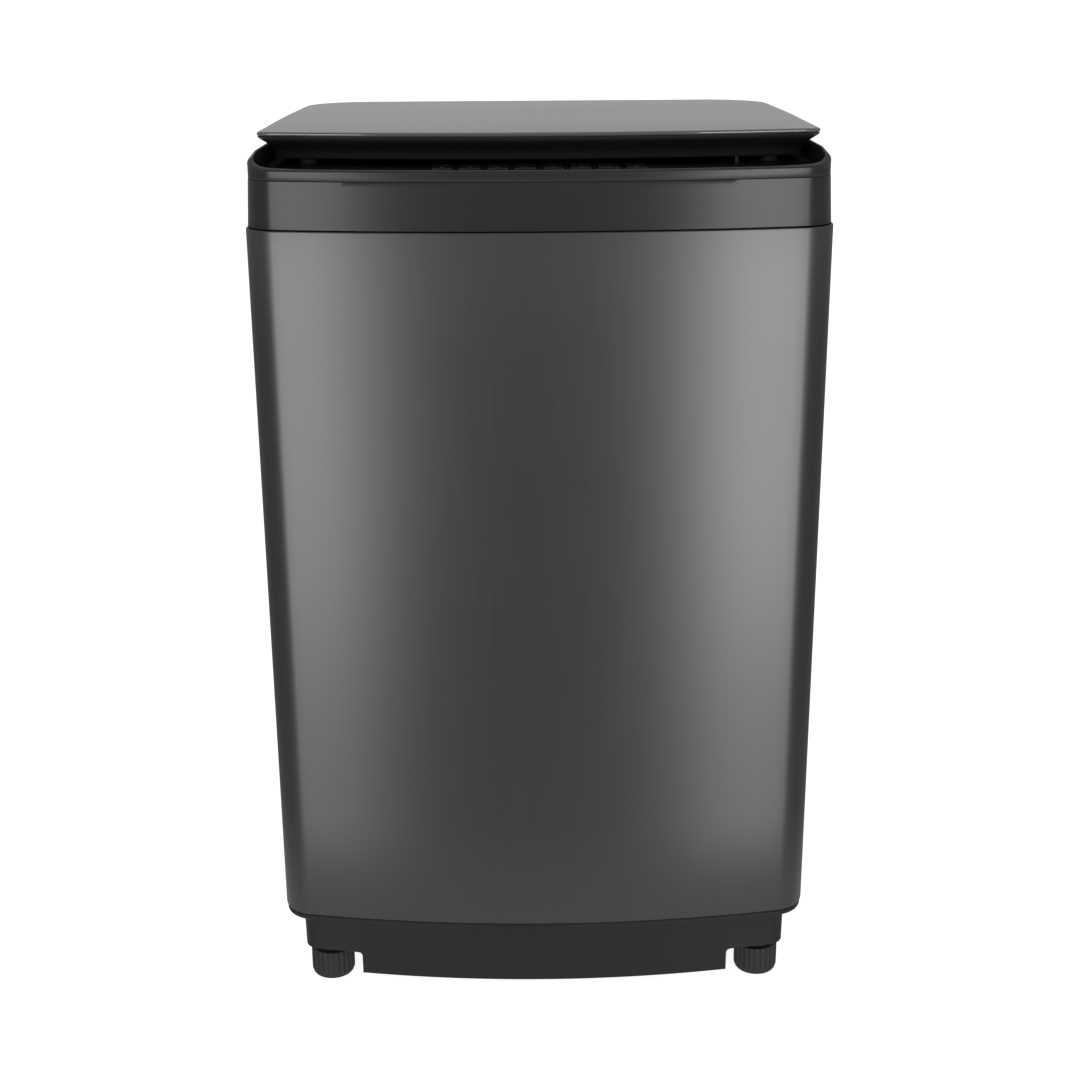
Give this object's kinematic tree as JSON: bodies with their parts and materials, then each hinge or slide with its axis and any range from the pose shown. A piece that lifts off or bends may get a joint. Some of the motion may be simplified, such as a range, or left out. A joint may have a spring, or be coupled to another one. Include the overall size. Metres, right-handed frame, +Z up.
{
  "type": "top load washing machine",
  "caption": "Top load washing machine: bowed steel cabinet, flat lid on a rear hinge, a row of keys, and a sprung tub with a spinning basket and wash plate.",
  "frame": {"origin": "on the floor, in the middle of the machine's bounding box", "axes": "+Z up, the bowed front faces -Y, +X to the right when looking at the front"},
  "size_m": [0.59, 0.61, 0.972],
  "materials": {
    "dark_steel": "dark grey brushed-look coat on sheet steel",
    "dark_band": "dark warm grey satin trim",
    "black_plastic": "black moulded plastic, fine grain",
    "panel_black": "gloss black",
    "key_grey": "satin dark grey",
    "lid_glass_grey": "opaque grey backed glass, gloss",
    "grey_plastic": "grey moulded plastic",
    "white_plastic": "off-white moulded plastic",
    "stainless": "brushed stainless steel",
    "zinc_steel": "zinc-plated steel",
    "aluminium_casting": "cast, matt",
    "black_rubber": "black rubber"
  },
  "bodies": {
    "cabinet": {"cabinet_shell": "dark_steel", "rear_panel": "zinc_steel", "base_frame": "black_plastic", "trim_band": "dark_band", "top_frame": "black_plastic", "control_panel": "panel_black", "control_board": "white_plastic", "bumper_left": "black_rubber", "bumper_right": "black_rubber", "hinge_pin_left": "zinc_steel", "hinge_pin_right": "zinc_steel", "lid_lock": "white_plastic", "detergent_housing": "white_plastic", "inlet_valve": "white_plastic", "drain_outlet": "black_plastic", "cord_gland": "black_plastic", "suspension_rod_front_left": "zinc_steel", "suspension_rod_front_right": "zinc_steel", "suspension_rod_rear_left": "zinc_steel", "suspension_rod_rear_right": "zinc_steel", "suspension_spring_front_left": "zinc_steel", "suspension_spring_front_right": "zinc_steel", "suspension_spring_rear_left": "zinc_steel", "suspension_spring_rear_right": "zinc_steel"},
    "lid": {"lid_frame": "black_plastic", "lid_glass": "lid_glass_grey", "lid_liner": "grey_plastic", "lid_latch": "black_plastic"},
    "lock_bolt": {"lock_bolt": "zinc_steel"},
    "detergent_drawer": {"detergent_drawer": "white_plastic"},
    "tub": {"outer_tub": "white_plastic", "tub_cover": "white_plastic", "gearbox_housing": "aluminium_casting", "motor_plate": "zinc_steel", "motor": "aluminium_casting", "drive_belt": "black_rubber", "drain_valve": "white_plastic", "drain_actuator": "black_plastic"},
    "basket": {"basket_wall": "stainless", "basket_base": "white_plastic", "balance_ring": "grey_plastic", "lint_filter_left": "grey_plastic", "lint_filter_right": "grey_plastic", "spin_tube": "stainless"},
    "pulsator": {"pulsator": "grey_plastic", "wash_shaft": "stainless"},
    "clutch_pulley": {"clutch_pulley": "aluminium_casting"},
    "motor_pulley": {"motor_pulley": "aluminium_casting"},
    "foot_front_left": {"foot_front_left": "black_rubber"},
    "foot_front_right": {"foot_front_right": "black_rubber"},
    "foot_rear_left": {"foot_rear_left": "black_rubber"},
    "foot_rear_right": {"foot_rear_right": "black_rubber"},
    "key_1": {"key_1": "key_grey"},
    "key_2": {"key_2": "key_grey"},
    "key_3": {"key_3": "key_grey"},
    "key_4": {"key_4": "key_grey"},
    "key_5": {"key_5": "key_grey"},
    "key_6": {"key_6": "key_grey"},
    "key_7": {"key_7": "key_grey"},
    "key_8": {"key_8": "key_grey"}
  },
  "joints": [
    {"name": "lid_hinge", "type": "hinge", "parent": "cabinet", "child": "lid", "pos_m": [0, 0.27, 0.9505], "axis": [-1, 0, 0], "range_deg": [0, 95]},
    {"name": "lock_slide", "type": "slide", "parent": "cabinet", "child": "lock_bolt", "axis": [-1, 0, 0], "range_m": [0, 0.009], "stiffness_N_per_m": 60},
    {"name": "drawer_slide", "type": "slide", "parent": "cabinet", "child": "detergent_drawer", "axis": [0, -1, 0], "range_m": [0, 0.06]},
    {"name": "tub_float", "type": "slide", "parent": "cabinet", "child": "tub", "axis": [0, 0, 1], "range_m": [-0.02, 0.012], "stiffness_N_per_m": 20000, "springref_m": 0.0038, "deforming": ["suspension_spring_front_left", "suspension_spring_front_right", "suspension_spring_rear_left", "suspension_spring_rear_right"]},
    {"name": "basket_spin", "type": "hinge", "parent": "tub", "child": "basket", "pos_m": [0, 0, 0.5], "axis": [0, 0, 1], "continuous": true},
    {"name": "pulsator_spin", "type": "hinge", "parent": "tub", "child": "pulsator", "pos_m": [0, 0, 0.4], "axis": [0, 0, 1], "continuous": true},
    {"name": "clutch_pulley_spin", "type": "hinge", "parent": "tub", "child": "clutch_pulley", "pos_m": [0, 0, 0.212], "axis": [0, 0, 1], "continuous": true},
    {"name": "motor_pulley_spin", "type": "hinge", "parent": "tub", "child": "motor_pulley", "pos_m": [0, 0.158, 0.212], "axis": [0, 0, 1], "continuous": true},
    {"name": "foot_front_left_screw", "type": "hinge", "parent": "cabinet", "child": "foot_front_left", "pos_m": [-0.2507, -0.201, 0], "axis": [0, 0, 1], "continuous": true},
    {"name": "foot_front_right_screw", "type": "hinge", "parent": "cabinet", "child": "foot_front_right", "pos_m": [0.2507, -0.201, 0], "axis": [0, 0, 1], "continuous": true},
    {"name": "foot_rear_left_screw", "type": "hinge", "parent": "cabinet", "child": "foot_rear_left", "pos_m": [-0.2507, 0.222, 0], "axis": [0, 0, 1], "continuous": true},
    {"name": "foot_rear_right_screw", "type": "hinge", "parent": "cabinet", "child": "foot_rear_right", "pos_m": [0.2507, 0.222, 0], "axis": [0, 0, 1], "continuous": true},
    {"name": "key_1_press", "type": "slide", "parent": "cabinet", "child": "key_1", "axis": [0, 0, -1], "range_m": [0, 0.0012], "stiffness_N_per_m": 800},
    {"name": "key_2_press", "type": "slide", "parent": "cabinet", "child": "key_2", "axis": [0, 0, -1], "range_m": [0, 0.0012], "stiffness_N_per_m": 800},
    {"name": "key_3_press", "type": "slide", "parent": "cabinet", "child": "key_3", "axis": [0, 0, -1], "range_m": [0, 0.0012], "stiffness_N_per_m": 800},
    {"name": "key_4_press", "type": "slide", "parent": "cabinet", "child": "key_4", "axis": [0, 0, -1], "range_m": [0, 0.0012], "stiffness_N_per_m": 800},
    {"name": "key_5_press", "type": "slide", "parent": "cabinet", "child": "key_5", "axis": [0, 0, -1], "range_m": [0, 0.0012], "stiffness_N_per_m": 800},
    {"name": "key_6_press", "type": "slide", "parent": "cabinet", "child": "key_6", "axis": [0, 0, -1], "range_m": [0, 0.0012], "stiffness_N_per_m": 800},
    {"name": "key_7_press", "type": "slide", "parent": "cabinet", "child": "key_7", "axis": [0, 0, -1], "range_m": [0, 0.0012], "stiffness_N_per_m": 800},
    {"name": "key_8_press", "type": "slide", "parent": "cabinet", "child": "key_8", "axis": [0, 0, -1], "range_m": [0, 0.0012], "stiffness_N_per_m": 800}
  ],
  "couplings": [
    {"joint": "clutch_pulley_spin", "follows": "pulsator_spin", "ratio": 5},
    {"joint": "motor_pulley_spin", "follows": "pulsator_spin", "ratio": 20}
  ]
}
